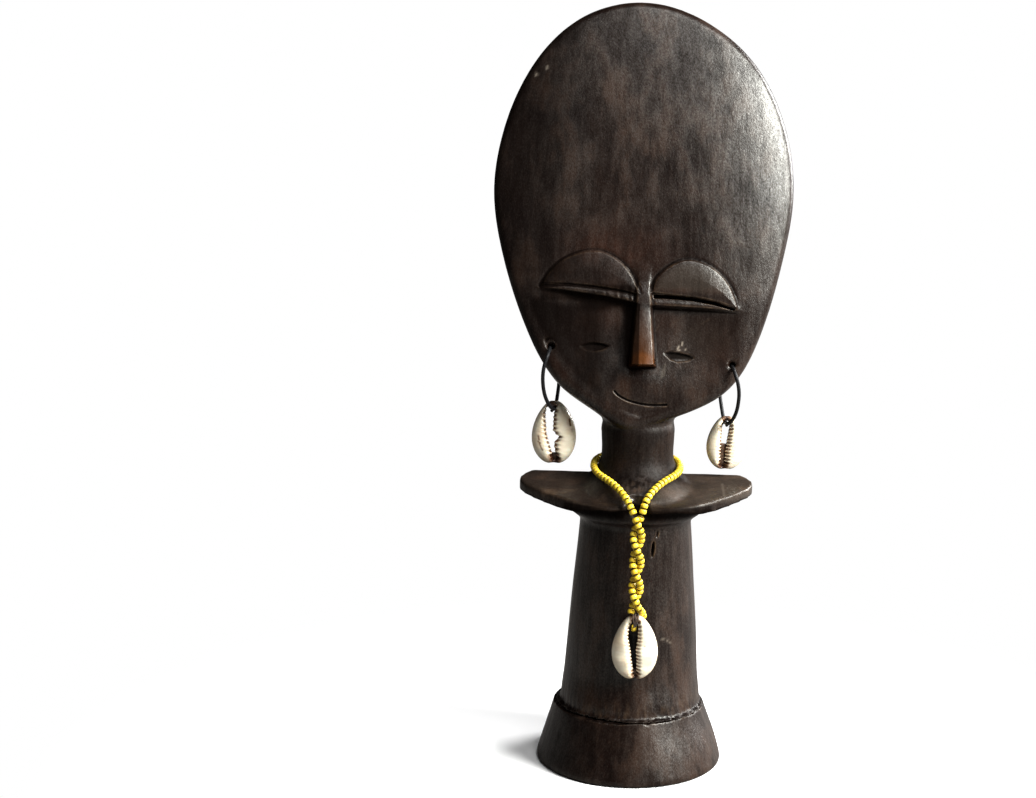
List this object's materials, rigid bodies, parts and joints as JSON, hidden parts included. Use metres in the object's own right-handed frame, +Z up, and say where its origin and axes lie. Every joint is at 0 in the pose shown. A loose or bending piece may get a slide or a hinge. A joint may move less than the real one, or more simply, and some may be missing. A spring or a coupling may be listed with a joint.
{
  "type": "fertility doll",
  "caption": "Carved dark wood doll with a large oval head, stub arms and a flared base, wearing cowrie earrings and a twisted bead necklace.",
  "frame": {"origin": "centre of the base's underside", "axes": "+Z up, the face looks along -Y, +X to the right of someone facing the doll"},
  "size_m": [0.1204, 0.0764, 0.3078],
  "materials": {
    "wood": "dark stained and waxed, worn brown on high points",
    "shell": "natural glossy cowrie shell",
    "yellow_bead": "opaque yellow glass seed beads",
    "black_cord": "waxed black cord",
    "brown_thread": "matt brown thread"
  },
  "bodies": {
    "figure": {"carved_figure": "wood", "neck_thread": "brown_thread", "neck_beads": "yellow_bead"},
    "left_earring": {"left_ear_cord": "black_cord", "left_ear_knot": "black_cord"},
    "left_shell": {"left_ear_cowrie": "shell"},
    "right_earring": {"right_ear_cord": "black_cord", "right_ear_knot": "black_cord"},
    "right_shell": {"right_ear_cowrie": "shell"},
    "pendant_strands": {"left_strand_thread": "brown_thread", "left_strand_beads": "yellow_bead", "right_strand_thread": "brown_thread", "right_strand_beads": "yellow_bead"},
    "pendant_shell": {"pendant_cowrie": "shell", "pendant_tie": "brown_thread", "pendant_stopper_bead": "yellow_bead"}
  },
  "joints": [
    {"name": "left_earring_swing", "type": "hinge", "parent": "figure", "child": "left_earring", "pos_m": [-0.0358, 0, 0.17135], "axis": [0, 1, 0], "range_deg": [-6, 30]},
    {"name": "left_shell_swing", "type": "hinge", "parent": "left_earring", "child": "left_shell", "pos_m": [-0.0339, 0, 0.1454], "axis": [0, 1, 0], "range_deg": [-12, 12]},
    {"name": "right_earring_swing", "type": "hinge", "parent": "figure", "child": "right_earring", "pos_m": [0.0363, 0, 0.16585], "axis": [0, -1, 0], "range_deg": [-6, 30]},
    {"name": "right_shell_swing", "type": "hinge", "parent": "right_earring", "child": "right_shell", "pos_m": [0.0355, 0, 0.14106], "axis": [0, -1, 0], "range_deg": [-12, 12]},
    {"name": "pendant_swing", "type": "hinge", "parent": "figure", "child": "pendant_strands", "pos_m": [0, -0.031, 0.10885], "axis": [0, 1, 0], "range_deg": [-12, 12]},
    {"name": "pendant_shell_tilt", "type": "hinge", "parent": "pendant_strands", "child": "pendant_shell", "pos_m": [0.0002, -0.0318, 0.0692], "axis": [-1, 0, 0], "range_deg": [0, 45]}
  ]
}
